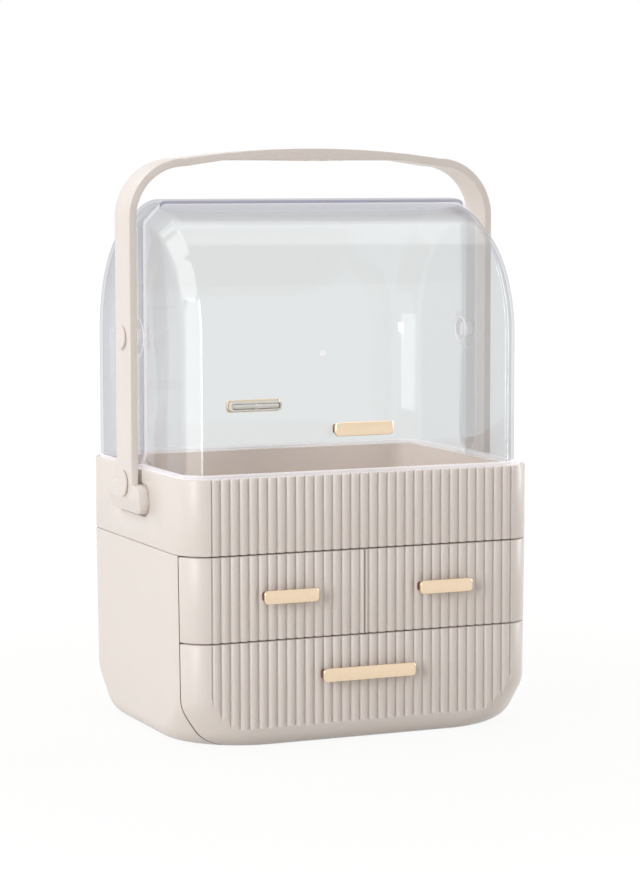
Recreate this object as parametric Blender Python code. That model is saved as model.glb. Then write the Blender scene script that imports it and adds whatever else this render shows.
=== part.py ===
"""Beauty organizer: a cabinet with three drawers, an open tray on top of it, a clear cover in two
halves that swing on the handle's legs, and a fixed carrying handle.

X runs to the right, Y to the back and Z up. The origin is in the middle of the underside.
"""

import math

import bmesh
import bpy
from mathutils import Vector

MM = 0.001

# Overall sizes of the body and the heights of its seams
body_width = 230 * MM
body_depth = 176 * MM
shelf_seam_height = 63.7 * MM
upper_bay_height = 51.7 * MM
tray_height = 45.1 * MM
tray_seam_height = shelf_seam_height + upper_bay_height
rim_height = tray_seam_height + tray_height

# Rounding of the body
plan_corner_radius = 21 * MM
base_edge_radius = 10 * MM
base_corner_height = 31 * MM
base_corner_shoulder_share = 0.3
base_corner_growth = 34 * MM
side_draft = 1.4 * MM
corner_steps = 8
base_edge_steps = 4
base_corner_steps = 6

# Walls and clearances
shell_wall = 2.5 * MM
shelf_thickness = 2.5 * MM
divider_thickness = 3 * MM
fit_gap = 0.3 * MM
reveal = 0.8 * MM
overrun = 5 * MM

# Drawers
front_depth = 14 * MM
front_wall = 3 * MM
front_lip_width = 6 * MM
front_lip_depth = 2 * MM
drawer_wall = 2 * MM
drawer_side_clearance = 0.8 * MM
drawer_top_clearance = 1.5 * MM
drawer_back_clearance = 16 * MM

# Ribs of the fronts
rib_count = 33
rib_steps = 4
rib_field_margin = 17 * MM
rib_depth = 1.6 * MM
rib_crest_drop = 0.2 * MM
rib_field_bottom = 11.3 * MM
rib_field_corner = 20 * MM

# Tray
tray_wall = 7 * MM
tray_floor = 3 * MM
tray_cavity_corner = 15 * MM
ledge_depth = 1 * MM
lip_width = 2 * MM

# Clear cover, whose two halves turn about one axis
cover_wall_rise = 79 * MM
cover_depth_margin = 5 * MM
cover_side_margin = 3 * MM
pivot_height = rim_height + cover_wall_rise
cover_radius = body_depth / 2 - cover_depth_margin
cover_half_width = body_width / 2 - cover_side_margin
cover_wall = 1.8 * MM
cover_chamfer = 12.4 * MM
inner_cover_chamfer = 10.2 * MM
cover_radial_gap = 1.7 * MM
cover_side_gap = 0.9 * MM
cover_overlap = 8 * MM
cover_parting_place = -4 * MM
cover_parting_gap = 0.5 * MM
cover_arc_steps = 12
flange_height = 2.6 * MM
flange_play = 0.6 * MM
flange_swing_play = 1.4 * MM
toe_rise = 13 * MM
toe_clearance = 0.5 * MM
toe_steps = 4

# Pivots of the cover
lobe_radius = 12.5 * MM
lobe_relief = 0.5 * MM
lobe_bite = 0.2 * MM
pin_radius = 4 * MM
pin_clearance = 0.4 * MM
pin_head_radius = 8 * MM
pin_head_thickness = 1.5 * MM
round_steps = 32

# Handle
handle_stand_off = 6.2 * MM
finger_gap = 23.3 * MM
grip_thickness = 7.2 * MM
handle_thickness = 4.8 * MM
handle_strap_width = 26 * MM
handle_corner_radius = 36 * MM
handle_crown_rise = 6 * MM
grip_half_length = 60 * MM
grip_wave_count = 4
grip_wave_height = 0.5 * MM
grip_wave_half_length = 24 * MM
handle_edge = 0.8 * MM
handle_corner_steps = 10
handle_crown_steps = 8
handle_grip_steps = 16
foot_half_width = 27 * MM
foot_half_height = 8.6 * MM
foot_drop = 18 * MM
foot_flat = 0.2 * MM
foot_taper = 1.9 * MM
pocket_depth = 2.2 * MM
pocket_margin = 1.6 * MM

# Round caps on the handle
pivot_cap_radius = 7 * MM
foot_cap_radius = 8 * MM
foot_cap_drop = 9.5 * MM
cap_thickness = 1.5 * MM
cap_edge = 0.4 * MM

# Pulls
small_pull_length = 35 * MM
wide_pull_length = 60.5 * MM
cover_pull_length = 38 * MM
pull_height = 8.2 * MM
pull_corner_radius = 2.2 * MM
pull_bar_thickness = 2.4 * MM
pull_bar_edge = 0.5 * MM
pull_neck_depth = 4.6 * MM
pull_neck_inset = 1.2 * MM
pull_neck_wall = 1 * MM
pull_corner_steps = 4
upper_pull_drop = 24.9 * MM
upper_pull_side_distance = 64.5 * MM
lower_pull_drop = 22.1 * MM
cover_pull_rise = 26.5 * MM

# Heights and planes worked out from the sizes above
seam_plane = front_depth - body_depth / 2
shell_front = seam_plane + reveal
shelf_bottom = shelf_seam_height - shelf_thickness / 2
shelf_top = shelf_seam_height + shelf_thickness / 2
shell_top = tray_seam_height - fit_gap / 2
tray_bottom = tray_seam_height + fit_gap / 2
front_face = -body_depth / 2
rib_pitch = (body_width - 2 * rib_field_margin) / rib_count
ledge_height = rim_height - ledge_depth
flange_bottom = ledge_height + fit_gap
inner_cover_radius = cover_radius - cover_wall - cover_radial_gap
inner_cover_half_width = cover_half_width - cover_wall - cover_side_gap
handle_half_width = body_width / 2 + handle_stand_off
grip_bottom_height = pivot_height + cover_radius + finger_gap
handle_height = grip_bottom_height + grip_thickness
handle_inner = handle_half_width - handle_thickness
handle_corner_height = handle_height - handle_crown_rise - handle_corner_radius
handle_shoulder = handle_half_width - handle_corner_radius
foot_inner = body_width / 2 - pocket_depth + fit_gap
foot_height = rim_height - foot_drop
foot_cap_height = rim_height - foot_cap_drop
upper_pull_height = tray_seam_height - upper_pull_drop
upper_pull_offset = body_width / 2 - upper_pull_side_distance
lower_pull_height = shelf_seam_height - lower_pull_drop
cover_pull_height = rim_height + cover_pull_rise


def clear_scene():
    """Removes every object that the file opens with."""
    for item in list(bpy.data.objects):
        bpy.data.objects.remove(item, do_unlink=True)


def material(name, colour, roughness, metallic=0.0, transmission=0.0):
    """A Principled material in one colour."""
    made = bpy.data.materials.new(name)
    made.use_nodes = True
    shader = made.node_tree.nodes["Principled BSDF"]
    shader.inputs["Base Color"].default_value = (*colour, 1)
    shader.inputs["Roughness"].default_value = roughness
    shader.inputs["Metallic"].default_value = metallic
    shader.inputs["Transmission Weight"].default_value = transmission
    made.diffuse_color = (*colour, 1)
    return made


def world_origin(item):
    """Where an object's origin is in the world, for objects that are moved but never turned."""
    if item is None:
        return Vector()
    return world_origin(item.parent) + item.location


def add_object(name, mesh, look, origin=(0, 0, 0), parent=None):
    """Turns a bmesh in world coordinates into an object with its origin at the given point."""
    origin = Vector(origin)
    bmesh.ops.recalc_face_normals(mesh, faces=mesh.faces)
    bmesh.ops.translate(mesh, vec=-origin, verts=mesh.verts)
    data = bpy.data.meshes.new(name)
    mesh.to_mesh(data)
    mesh.free()
    data.shade_smooth()
    data.set_sharp_from_angle(angle=math.radians(35))
    item = bpy.data.objects.new(name, data)
    if look is not None:
        data.materials.append(look)
    item.parent = parent
    item.location = origin - world_origin(parent)
    bpy.context.collection.objects.link(item)
    return item


def add_helper(name, mesh):
    """An object that only shapes others, so it isn't part of the model."""
    item = add_object(name, mesh, None)
    item.hide_render = True
    item.display_type = "WIRE"
    return item


def combine(item, other, operation):
    """Adds an exact Boolean of another object to an object."""
    step = item.modifiers.new(other.name, "BOOLEAN")
    step.operation = operation
    step.solver = "EXACT"
    step.object = other


def cut(item, name, mesh):
    """Takes a solid out of an object."""
    combine(item, add_helper(name, mesh), "DIFFERENCE")


def fuse(item, name, mesh):
    """Adds a solid to an object."""
    combine(item, add_helper(name, mesh), "UNION")


def skin(rings):
    """A closed solid through rings of points, which all hold the same number of points."""
    mesh = bmesh.new()
    place = mesh.verts.layers.int.new("place")
    base = mesh.faces.new([mesh.verts.new(point) for point in rings[0]])
    for count, corner in enumerate(base.verts):
        corner[place] = count
    cap = base
    for ring in rings[1:]:
        grown = bmesh.ops.extrude_face_region(mesh, geom=[cap])["geom"]
        if cap != base:
            bmesh.ops.delete(mesh, geom=[cap], context="FACES_ONLY")
        cap = next(item for item in grown if isinstance(item, bmesh.types.BMFace))
        for corner in cap.verts:
            corner.co = ring[corner[place]]
    return mesh


def prism(outline, axis, low, high):
    """An outline of two coordinates, extruded along X, Y or Z between two places."""

    def ring(place):
        lift = {
            "X": lambda a, b: (place, a, b),
            "Y": lambda a, b: (a, place, b),
            "Z": lambda a, b: (a, b, place),
        }[axis]
        return [lift(*point) for point in outline]

    return skin([ring(low), ring(high)])


def box(low, high):
    """A block between two opposite corners."""
    outline = [(low[0], low[1]), (high[0], low[1]), (high[0], high[1]), (low[0], high[1])]
    return prism(outline, "Z", low[2], high[2])


def rounded_outline(half_across, half_up, radius, steps, centre=(0, 0)):
    """A rectangle with round corners, as points that run anticlockwise."""
    points = []
    for quarter in range(4):
        side_across = 1 if quarter in (0, 3) else -1
        side_up = 1 if quarter < 2 else -1
        across = centre[0] + side_across * (half_across - radius)
        up = centre[1] + side_up * (half_up - radius)
        for step in range(steps + 1):
            turn = math.pi / 2 * (quarter + step / steps)
            points.append((across + radius * math.cos(turn), up + radius * math.sin(turn)))
    return points


def round_bar(centre, radius, low, high, steps=round_steps):
    """A round bar along X."""
    outline = []
    for step in range(steps):
        turn = 2 * math.pi * step / steps
        outline.append((centre[0] + radius * math.cos(turn), centre[1] + radius * math.sin(turn)))
    return prism(outline, "X", low, high)


def soften(item, width, segments=2, angle=40):
    """Rounds the sharp edges of an object."""
    step = item.modifiers.new("Soft edges", "BEVEL")
    step.width = width
    step.segments = segments
    step.limit_method = "ANGLE"
    step.angle_limit = math.radians(angle)


def body_section(height, inset=0.0):
    """Half-width, half-depth and corner radius of the body at a height.

    The inset gives the same for a surface that lies inside the outer one. Low down the upright
    corners open out past a soft shoulder, and the last stretch rolls in to the underside."""
    edge = base_edge_radius - inset
    below = max(edge - max(height - inset, 0), 0)
    roll = edge - math.sqrt(max(edge**2 - below**2, 0))
    lean = side_draft * (1 - min(height / tray_seam_height, 1))
    depth = min(max(1 - height / base_corner_height, 0), 1)
    shoulder = base_corner_shoulder_share
    ramp = depth**2 / (2 * shoulder) if depth < shoulder else depth - shoulder / 2
    growth = base_corner_growth * ramp / (1 - shoulder / 2)
    half_width = body_width / 2 - lean - inset - roll
    half_depth = body_depth / 2 - inset - roll
    return half_width, half_depth, plan_corner_radius + growth - inset - roll


def body_levels(low, high, inset=0.0):
    """The heights at which the body's skin needs a ring, between two heights."""
    edge = base_edge_radius - inset
    drop = base_corner_height - base_edge_radius
    levels = {low, high}
    for step in range(base_edge_steps + 1):
        turn = math.pi / 2 * step / base_edge_steps
        levels.add(inset + edge * (1 - math.cos(turn)))
    for step in range(1, base_corner_steps + 1):
        levels.add(base_edge_radius + drop * step / base_corner_steps)
    return sorted(level for level in levels if low <= level <= high)


def body_solid(low, high, inset=0.0):
    """The body between two heights, or the space inside it with an inset."""
    rings = []
    for level in body_levels(low, high, inset):
        half_width, half_depth, radius = body_section(level, inset)
        outline = rounded_outline(half_width, half_depth, radius, corner_steps)
        rings.append([(across, along, level) for across, along in outline])
    return skin(rings)


def seam_outline(inset, top):
    """Where the plane behind the drawer fronts cuts the body, from its top left corner down."""
    side = []
    for level in body_levels(inset, top, inset):
        half_width, half_depth, radius = body_section(level, inset)
        depth = min(half_depth + seam_plane, radius)
        reach = half_width - radius + math.sqrt(radius**2 - (radius - depth) ** 2)
        side.append((reach, level))
    left = [(-across, level) for across, level in reversed(side)]
    return left + side


def rib_cutter(bottom, top):
    """The material in front of the ribs, from one height to another."""
    crest = front_face + rib_crest_drop
    half_pitch = rib_pitch / 2
    rib_radius = (rib_depth**2 + half_pitch**2) / (2 * rib_depth)
    edge = rib_pitch * rib_count / 2
    outline = []
    for rib in range(rib_count):
        for step in range(rib_steps):
            share = 2 * step / rib_steps - 1
            bow = rib_radius - math.sqrt(rib_radius**2 - (share * half_pitch) ** 2)
            outline.append((-edge + rib_pitch * rib + rib_pitch * step / rib_steps, crest + bow))
    outline.append((edge, crest + rib_depth))
    outline.append((edge, front_face - overrun))
    outline.append((-edge, front_face - overrun))
    return prism(outline, "Z", bottom, top)


def rib_field(top):
    """The outline of the ribbed field of the lowest front, extruded from front to back."""
    half_width = rib_pitch * rib_count / 2 + overrun
    outline = [(-half_width, top), (half_width, top)]
    edge = rib_pitch * rib_count / 2
    for side in (1, -1):
        corner = []
        for step in range(corner_steps + 1):
            turn = math.pi / 2 * step / corner_steps
            across = edge - rib_field_corner * (1 - math.cos(turn))
            height = rib_field_bottom + rib_field_corner * (1 - math.sin(turn))
            corner.append((side * across, height))
        corner = [(side * half_width, corner[0][1])] + corner
        outline += corner if side > 0 else corner[::-1]
    return prism(outline, "Y", front_face - 2 * overrun, front_face + overrun)


def behind_seam(low, high, place):
    """A block that takes away everything behind a plane."""
    reach = body_width
    return box((-reach, place, low - overrun), (reach, reach, high + overrun))


def make_shell(look):
    """The cabinet's outer shell, open at the front and at the top."""
    shell = add_object("cabinet_shell", body_solid(0, shell_top), look)
    cut(shell, "shell_space", body_solid(shell_wall, shell_top + overrun, shell_wall))
    reach = body_width
    cut(shell, "shell_mouth", box((-reach, -reach, -overrun), (reach, shell_front, shell_top + overrun)))
    return shell


def make_shelf(look):
    """The shelf between the lower drawer and the two upper ones."""
    half_width, half_depth, radius = body_section(shelf_bottom, shell_wall + fit_gap)
    outline = rounded_outline(half_width, half_depth, radius, corner_steps)
    shelf = add_object("mid_shelf", prism(outline, "Z", shelf_bottom, shelf_top), look)
    reach = body_width
    cut(shelf, "shelf_front", box((-reach, -reach, 0), (reach, shell_front, tray_seam_height)))
    return shelf


def make_divider(look):
    """The upright wall between the two upper drawers."""
    half = divider_thickness / 2
    back = body_depth / 2 - shell_wall - fit_gap
    low = (-half, shell_front, shelf_top + fit_gap)
    return add_object("bay_divider", box(low, (half, back, shell_top)), look)


def make_tray(look):
    """The open tray on top of the cabinet, with a stepped rim and a pocket for each handle foot."""
    outline = rounded_outline(body_width / 2, body_depth / 2, plan_corner_radius, corner_steps)
    tray = add_object("tray", prism(outline, "Z", tray_bottom, rim_height), look)
    cut(tray, "tray_ribs", rib_cutter(tray_bottom - overrun, rim_height + overrun))
    inner = rounded_outline(
        body_width / 2 - tray_wall, body_depth / 2 - tray_wall, tray_cavity_corner, corner_steps
    )
    cut(tray, "tray_space", prism(inner, "Z", tray_bottom + tray_floor, rim_height + overrun))
    ledge = rounded_outline(
        body_width / 2 - lip_width, body_depth / 2 - lip_width, plan_corner_radius - lip_width, corner_steps
    )
    cut(tray, "tray_ledge", prism(ledge, "Z", ledge_height, rim_height + overrun))
    for side in (-1, 1):
        for name, outline in foot_outlines(pocket_margin):
            inside = side * (body_width / 2 - pocket_depth)
            outside = side * (body_width / 2 + overrun)
            pocket = prism(outline, "X", min(inside, outside), max(inside, outside))
            cut(tray, f"pocket_{name}_{'left' if side < 0 else 'right'}", pocket)
    return tray


def foot_outlines(margin):
    """The side view of the handle's lower end: the strap and the wider foot under it."""
    half_strap = handle_strap_width / 2 + margin
    strap_top = rim_height + overrun
    strap = [(-half_strap, foot_height), (half_strap, foot_height)]
    strap += [(half_strap, strap_top), (-half_strap, strap_top)]
    half_height = foot_half_height + margin
    radius = half_height - foot_flat
    foot = rounded_outline(foot_half_width + margin, half_height, radius, corner_steps, (0, foot_height))
    return [("strap", strap), ("foot", foot)]


def front_origin(across, height):
    """The middle of a drawer front's face, from which the drawer slides."""
    return Vector((across, front_face, height))


def make_front(name, low, high, left, right, look, origin):
    """A ribbed drawer front between two heights and two sides: a cap that is hollow behind."""
    front = add_object(name, body_solid(low, high), look, origin)
    cut(front, f"{name}_back", behind_seam(low, high, seam_plane))
    for place, side in ((left, -1), (right, 1)):
        if place is not None:
            near, far = sorted((place, place + side * body_width))
            block = box((near, -body_depth, low - overrun), (far, body_depth, high + overrun))
            cut(front, f"{name}_side_{'left' if side < 0 else 'right'}", block)
    for part, inset, start, end in (
        ("hollow", front_wall, -body_depth, seam_plane - front_lip_depth),
        ("lip", front_lip_width, seam_plane - front_lip_depth - fit_gap, seam_plane + overrun),
    ):
        space = add_helper(f"{name}_{part}", body_solid(max(low, 0) + inset, high - inset, inset))
        reach = body_width
        cut(space, f"{name}_{part}_behind", box((-reach, end, -overrun), (reach, reach, rim_height)))
        if start > -body_depth:
            block = box((-reach, -reach, -overrun), (reach, start, rim_height))
            cut(space, f"{name}_{part}_ahead", block)
        for place, side in ((left, -1), (right, 1)):
            if place is not None:
                edge = place - side * inset
                near, far = sorted((edge, edge + side * body_width))
                block = box((near, -reach, -overrun), (far, reach, rim_height))
                cut(space, f"{name}_{part}_{'left' if side < 0 else 'right'}", block)
        combine(front, space, "DIFFERENCE")
    return front


def make_upper_fronts(look):
    """The two upper drawer fronts, left and right."""
    low = shelf_seam_height + reveal / 2
    high = tray_bottom - reveal
    fronts = []
    for side, name in ((-1, "left"), (1, "right")):
        inner = side * reveal / 2
        left, right = (None, inner) if side < 0 else (inner, None)
        origin = front_origin(side * upper_pull_offset, upper_pull_height)
        front = make_front(f"upper_{name}_front", low, high, left, right, look, origin)
        cut(front, f"upper_{name}_ribs", rib_cutter(low - overrun, high + overrun))
        fronts.append(front)
    return fronts


def make_lower_front(look):
    """The wide lower drawer front, whose ribs stop above a plain border."""
    high = shelf_seam_height - reveal / 2
    origin = front_origin(0, lower_pull_height)
    front = make_front("lower_front", 0, high, None, None, look, origin)
    ribs = add_helper("lower_ribs", rib_cutter(-overrun, high + 2 * overrun))
    combine(ribs, add_helper("lower_rib_field", rib_field(high + overrun)), "INTERSECT")
    combine(front, ribs, "DIFFERENCE")
    return front


def drawer_body(name, outer, inner, top, look, front):
    """A drawer box: an outline along Y, hollowed by a smaller one and open at the top."""
    start = seam_plane + fit_gap
    end = body_depth / 2 - drawer_back_clearance
    body = add_object(name, prism(outer, "Y", start, end), look, world_origin(front), front)
    cut(body, f"{name}_space", prism(inner, "Y", start + drawer_wall, end - drawer_wall))
    return body


def make_upper_boxes(look, fronts):
    """The boxes of the two upper drawers."""
    bottom = shelf_top + fit_gap
    top = shell_top - drawer_top_clearance
    side_reach = body_section(bottom, shell_wall + drawer_side_clearance)
    half_depth = min(side_reach[1] + seam_plane, side_reach[2])
    outer_reach = side_reach[0] - side_reach[2]
    outer_reach += math.sqrt(side_reach[2] ** 2 - (side_reach[2] - half_depth) ** 2)
    inner_reach = divider_thickness / 2 + drawer_side_clearance
    boxes = []
    for side, name, front in ((-1, "left", fronts[0]), (1, "right", fronts[1])):
        near, far = sorted((side * inner_reach, side * outer_reach))
        outer = [(near, bottom), (far, bottom), (far, top), (near, top)]
        wall = drawer_wall
        inner = [(near + wall, bottom + wall), (far - wall, bottom + wall)]
        inner += [(far - wall, top + overrun), (near + wall, top + overrun)]
        boxes.append(drawer_body(f"upper_{name}_box", outer, inner, top, look, front))
    return boxes


def make_lower_box(look, front):
    """The box of the lower drawer, whose lower corners follow the cabinet's."""
    top = shelf_bottom - drawer_top_clearance
    inset = shell_wall + drawer_side_clearance
    outer = seam_outline(inset, top)
    inner = seam_outline(inset + drawer_wall, top)
    inner = [(inner[0][0], top + overrun)] + inner + [(inner[-1][0], top + overrun)]
    return drawer_body("lower_box", outer, inner, top, look, front)


def inner_chamfer(chamfer, inset):
    """The leg of a 45 degree chamfer on a surface that lies inside another."""
    return chamfer - (2 - math.sqrt(2)) * inset


def cover_solid(radius, half_width, chamfer, edge, bottom):
    """Half of the cover as a full solid: an upright wall, a quarter round on top and chamfered ends.

    It lies in front of the pivot axis and its ends reach back to the edge."""

    def ring(place, reach):
        points = [(edge, bottom), (-reach, bottom)]
        last = -math.asin(edge / reach)
        for step in range(cover_arc_steps + 1):
            turn = math.pi / 2 + (last - math.pi / 2) * step / cover_arc_steps
            points.append((-reach * math.sin(turn), pivot_height + reach * math.cos(turn)))
        return [(place, along, height) for along, height in points]

    outer = half_width - chamfer
    sections = [(-half_width, radius - chamfer), (-outer, radius)]
    sections += [(outer, radius), (half_width, radius - chamfer)]
    return skin([ring(place, reach) for place, reach in sections])


def turned_about(mesh, side):
    """Mirrors a front half to the back for side 1, and leaves it in front for side -1."""
    if side > 0:
        for corner in mesh.verts:
            corner.co.y = -corner.co.y
        bmesh.ops.reverse_faces(mesh, faces=mesh.faces)
    return mesh


def make_cover(name, side, radius, half_width, chamfer, lobe_low, lobe_high, look):
    """One half of the clear cover. Side -1 is the front half and side 1 the rear half."""
    origin = (0, 0, pivot_height)
    parting = -side * cover_parting_place
    edge = parting + cover_overlap
    solid = cover_solid(radius, half_width, chamfer, edge, flange_bottom)
    cover = add_object(name, turned_about(solid, side), look, origin)
    half_across = body_width / 2 - lip_width - flange_play
    half_along = body_depth / 2 - lip_width - flange_swing_play
    corner = plan_corner_radius - lip_width - flange_play
    outline = rounded_outline(half_across, half_along, corner, corner_steps)
    flange = add_helper(f"{name}_flange", prism(outline, "Z", flange_bottom, flange_bottom + flange_height))
    reach = body_width
    start = parting - cover_parting_gap / 2
    block = box((-reach, start, 0), (reach, reach, handle_height))
    cut(flange, f"{name}_flange_end", turned_about(block, side))
    combine(cover, flange, "UNION")
    for end, where in ((-1, "left"), (1, "right")):
        near, far = sorted((end * lobe_low, end * lobe_high))
        fuse(cover, f"{name}_lobe_{where}", round_bar((0, pivot_height), lobe_radius, near, far))
    space = cover_solid(
        radius - cover_wall,
        half_width - cover_wall,
        inner_chamfer(chamfer, cover_wall),
        edge + overrun,
        flange_bottom - overrun,
    )
    cut(cover, f"{name}_space", turned_about(space, side))
    cut(cover, f"{name}_toe", turned_about(toe_cutter(parting), side))
    hole_reach = cover_half_width + overrun
    hole = round_bar((0, pivot_height), pin_radius + pin_clearance, -hole_reach, hole_reach)
    cut(cover, f"{name}_holes", hole)
    return cover


def toe_cutter(parting):
    """Takes away the lower corner past the parting line, in a curve, so that the half can turn."""
    start = parting - cover_parting_gap / 2
    low = flange_bottom + flange_height + toe_clearance
    points = [(start, flange_bottom - overrun), (start, low)]
    for step in range(1, toe_steps + 1):
        turn = math.pi / 2 * step / toe_steps
        along = start + (cover_overlap + cover_parting_gap) * math.sin(turn)
        points.append((along, low + toe_rise * (1 - math.cos(turn))))
    end = parting + cover_overlap + overrun
    points.append((end, low + toe_rise))
    points.append((end, flange_bottom - overrun))
    return prism(points, "X", -body_width, body_width)


def handle_outline():
    """The front view of the carrying handle: its outer edge from left to right, then its inner edge."""
    half_turns = handle_corner_steps
    left_outer = [(-handle_half_width, foot_height)]
    for step in range(half_turns + 1):
        turn = math.pi / 2 * step / half_turns
        across = -handle_shoulder - handle_corner_radius * math.cos(turn)
        left_outer.append((across, handle_corner_height + handle_corner_radius * math.sin(turn)))
    crown = []
    for step in range(1, handle_crown_steps):
        share = 2 * step / handle_crown_steps - 1
        crown.append((share * handle_shoulder, handle_height - handle_crown_rise * share**2))
    outer = left_outer + crown + [(-across, height) for across, height in reversed(left_outer)]
    inner_radius = handle_corner_radius - handle_thickness
    left_inner = [(-handle_inner, foot_height)]
    for step in range(half_turns + 1):
        turn = math.pi / 2 * step / half_turns
        across = -handle_shoulder - inner_radius * math.cos(turn)
        left_inner.append((across, handle_corner_height + inner_radius * math.sin(turn)))
    grip = []
    for step in range(handle_grip_steps + 1):
        across = grip_half_length * (2 * step / handle_grip_steps - 1)
        fade = max(1 - (across / grip_wave_half_length) ** 2, 0)
        wave = math.cos(math.pi * grip_wave_count * across / grip_wave_half_length)
        grip.append((across, grip_bottom_height + fade * grip_wave_height * wave))
    inner = left_inner + grip + [(-across, height) for across, height in reversed(left_inner)]
    return outer + inner[::-1]


def make_handle(look):
    """The carrying handle. A wide foot at each lower end, flush with the strap, sits in a pocket."""
    half_strap = handle_strap_width / 2
    handle = add_object("handle", prism(handle_outline(), "Y", -half_strap, half_strap), look)
    soften(handle, handle_edge)
    for side, name in ((-1, "left"), (1, "right")):
        near, far = sorted((side * foot_inner, side * handle_half_width))
        radius = foot_half_height - foot_flat
        outline = rounded_outline(foot_half_width, foot_half_height, radius, corner_steps, (0, foot_height))
        fuse(handle, f"handle_foot_{name}", prism(outline, "X", near, far))
        cut(handle, f"foot_taper_{name}", foot_wedge(side))
    return handle


def foot_wedge(side):
    """What the tapered outer face leaves off the lower half of a foot."""
    drop = foot_half_height + overrun
    inset = foot_taper * drop / foot_half_height
    outside = handle_half_width + overrun
    outline = [(handle_half_width, foot_height), (handle_half_width - inset, foot_height - drop)]
    outline += [(outside, foot_height - drop), (outside, foot_height)]
    outline = [(side * across, height) for across, height in outline]
    reach = foot_half_width + overrun
    return prism(outline, "Y", -reach, reach)


def make_pins(look):
    """The two pins that carry both halves of the cover, with a round head on the inside."""
    head_face = inner_cover_half_width - cover_wall - lobe_relief - fit_gap
    pins = []
    for side, name in ((-1, "left"), (1, "right")):
        near, far = sorted((side * (head_face - lobe_bite), side * (handle_inner - fit_gap)))
        origin = (side * handle_inner, 0, pivot_height)
        pin = add_object(
            f"pivot_pin_{name}", round_bar((0, pivot_height), pin_radius, near, far), look, origin
        )
        near, far = sorted((side * (head_face - pin_head_thickness), side * head_face))
        fuse(pin, f"pin_head_{name}", round_bar((0, pivot_height), pin_head_radius, near, far))
        pins.append(pin)
    return pins


def make_caps(look):
    """The round caps on the outside of the handle, over its pivots and its feet."""
    caps = []
    for side, where in ((-1, "left"), (1, "right")):
        for name, radius, height in (
            ("pivot_cap", pivot_cap_radius, pivot_height),
            ("foot_cap", foot_cap_radius, foot_cap_height),
        ):
            near, far = sorted(
                (side * (handle_half_width + fit_gap), side * (handle_half_width + fit_gap + cap_thickness))
            )
            disc = round_bar((0, height), radius, near, far)
            cap = add_object(f"{name}_{where}", disc, look, (side * handle_half_width, 0, height))
            soften(cap, cap_edge)
            caps.append(cap)
    return caps


def make_pull(name, centre, length, outward, looks, parent):
    """A pull: a hollow neck on the face that carries it and a flat bar in front of that.

    The centre lies on the carrying face, and outward is -1 for the front and 1 for the back."""
    across, along, height = centre
    neck_start = along + outward * fit_gap
    neck_end = neck_start + outward * pull_neck_depth
    bar_start = neck_end + outward * fit_gap
    bar_end = bar_start + outward * pull_bar_thickness
    half = (length / 2, pull_height / 2)
    neck_half = (half[0] - pull_neck_inset, half[1] - pull_neck_inset)
    neck_corner = pull_corner_radius - pull_neck_inset / 2
    outline = rounded_outline(*neck_half, neck_corner, pull_corner_steps, (across, height))
    neck = prism(outline, "Y", *sorted((neck_start, neck_end)))
    neck = add_object(f"{name}_neck", neck, looks[1], centre, parent)
    hollow = rounded_outline(
        neck_half[0] - pull_neck_wall,
        neck_half[1] - pull_neck_wall,
        neck_corner - pull_neck_wall / 2,
        pull_corner_steps,
        (across, height),
    )
    cut(neck, f"{name}_neck_hollow", prism(hollow, "Y", neck_start - overrun, neck_end + overrun))
    outline = rounded_outline(*half, pull_corner_radius, pull_corner_steps, (across, height))
    bar = prism(outline, "Y", *sorted((bar_start, bar_end)))
    bar = add_object(f"{name}_bar", bar, looks[0], centre, parent)
    soften(bar, pull_bar_edge, 2, 50)
    return neck, bar


def make_pulls(looks, uppers, lower, front_cover, rear_cover):
    """All five pulls, each on the piece that it moves."""
    crest = front_face + rib_crest_drop
    for side, name, front in ((-1, "left", uppers[0]), (1, "right", uppers[1])):
        centre = (side * upper_pull_offset, crest, upper_pull_height)
        make_pull(f"upper_{name}_pull", centre, small_pull_length, -1, looks, front)
    make_pull("lower_pull", (0, crest, lower_pull_height), wide_pull_length, -1, looks, lower)
    centre = (0, -inner_cover_radius, cover_pull_height)
    make_pull("front_cover_pull", centre, cover_pull_length, -1, looks, front_cover)
    centre = (0, cover_radius, cover_pull_height)
    make_pull("rear_cover_pull", centre, cover_pull_length, 1, looks, rear_cover)


def build():
    """Makes every piece of the organizer."""
    clear_scene()
    cream = material("Cream plastic", (0.80, 0.75, 0.70), 0.45)
    inner_cream = material("Cream plastic inside", (0.60, 0.52, 0.46), 0.5)
    clear = material("Clear plastic", (0.9, 0.91, 0.93), 0.05, 0.0, 1.0)
    pin_clear = material("Clear pin plastic", (0.85, 0.87, 0.9), 0.1, 0.0, 0.8)
    gold = material("Gold plating", (0.85, 0.65, 0.38), 0.25, 1.0)
    dark_gold = material("Gold plating on the necks", (0.55, 0.38, 0.2), 0.3, 1.0)

    make_shell(cream)
    make_shelf(inner_cream)
    make_divider(inner_cream)
    make_tray(cream)
    make_handle(cream)
    make_pins(pin_clear)
    make_caps(cream)
    uppers = make_upper_fronts(cream)
    make_upper_boxes(inner_cream, uppers)
    lower = make_lower_front(cream)
    make_lower_box(inner_cream, lower)
    front_cover = make_cover(
        "front_cover",
        -1,
        inner_cover_radius,
        inner_cover_half_width,
        inner_cover_chamfer,
        inner_cover_half_width - cover_wall - lobe_relief,
        inner_cover_half_width - lobe_bite,
        clear,
    )
    rear_cover = make_cover(
        "rear_cover",
        1,
        cover_radius,
        cover_half_width,
        cover_chamfer,
        cover_half_width - cover_wall + lobe_bite,
        cover_half_width + lobe_relief,
        clear,
    )
    make_pulls((gold, dark_gold), uppers, lower, front_cover, rear_cover)


build()
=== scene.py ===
import math

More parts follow.
